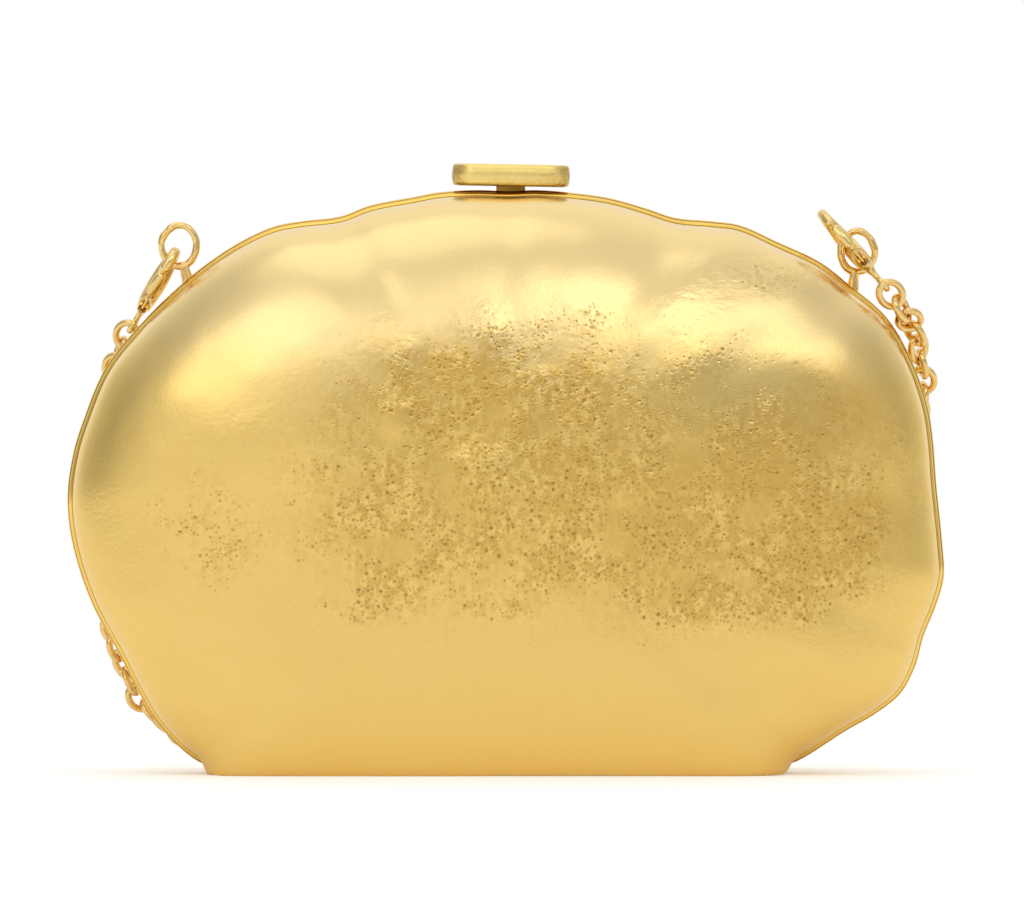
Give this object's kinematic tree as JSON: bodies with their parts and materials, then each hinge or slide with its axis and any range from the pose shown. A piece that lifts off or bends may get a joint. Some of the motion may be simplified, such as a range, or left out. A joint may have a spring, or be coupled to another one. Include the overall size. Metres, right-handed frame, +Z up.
{
  "type": "clutch bag",
  "caption": "Hard evening clutch of hammered gold-toned metal halves hinged along a flat base, with cloth lining, push-knob latch and a short chain handle on claw clasps.",
  "frame": {"origin": "middle of the flat base, in the plane where the two rims meet", "axes": "+X to the bag's right as seen from the front, +Y towards the back half, +Z up to the knob; the front faces -Y"},
  "size_m": [0.2, 0.0729, 0.1391],
  "materials": {
    "hammered_gold": "satin gold plate over hammered and pitted sheet",
    "polished_gold": "polished gold plate",
    "satin_gold": "brushed gold plate",
    "link_gold": "polished gold plate, slightly uneven",
    "spring_steel": "drawn wire",
    "lining": "short-napped woven cloth"
  },
  "bodies": {
    "back_half": {"back_shell": "hammered_gold", "back_lining": "lining", "back_rim": "polished_gold", "back_hinge_leaf": "polished_gold", "hinge_pin": "spring_steel", "latch_guide": "satin_gold", "latch_spring": "spring_steel", "left_eye": "link_gold", "right_eye": "link_gold", "left_claw_body": "satin_gold", "left_claw_rivet": "polished_gold", "left_claw_spring": "spring_steel", "right_claw_body": "satin_gold", "right_claw_rivet": "polished_gold", "right_claw_spring": "spring_steel", "chain": "link_gold"},
    "front_half": {"front_shell": "hammered_gold", "front_lining": "lining", "front_rim": "polished_gold", "front_hinge_leaf": "polished_gold", "latch_catch": "satin_gold"},
    "knob": {"push_knob": "satin_gold", "latch_plate": "satin_gold"},
    "left_gate": {"left_claw_gate": "satin_gold"},
    "right_gate": {"right_claw_gate": "satin_gold"}
  },
  "joints": [
    {"name": "base_hinge", "type": "hinge", "parent": "back_half", "child": "front_half", "pos_m": [-0.0032, 0, 0.0019], "axis": [1, 0, 0], "range_deg": [0, 70]},
    {"name": "knob_press", "type": "slide", "parent": "back_half", "child": "knob", "axis": [0, 0, -1], "range_m": [0, 0.0006], "stiffness_N_per_m": 1500, "springref_m": -0.002, "deforming": ["latch_spring"]},
    {"name": "left_gate_hinge", "type": "hinge", "parent": "back_half", "child": "left_gate", "pos_m": [-0.08227, 0.00538, 0.10663], "axis": [-0.8717, 0, 0.4901], "range_deg": [0, 20], "stiffness_Nm_per_rad": 0.01, "springref_deg": -11.46},
    {"name": "right_gate_hinge", "type": "hinge", "parent": "back_half", "child": "right_gate", "pos_m": [0.08107, -0.00314, 0.11722], "axis": [-0.7636, 0, -0.6457], "range_deg": [0, 20], "stiffness_Nm_per_rad": 0.01, "springref_deg": -11.46}
  ]
}
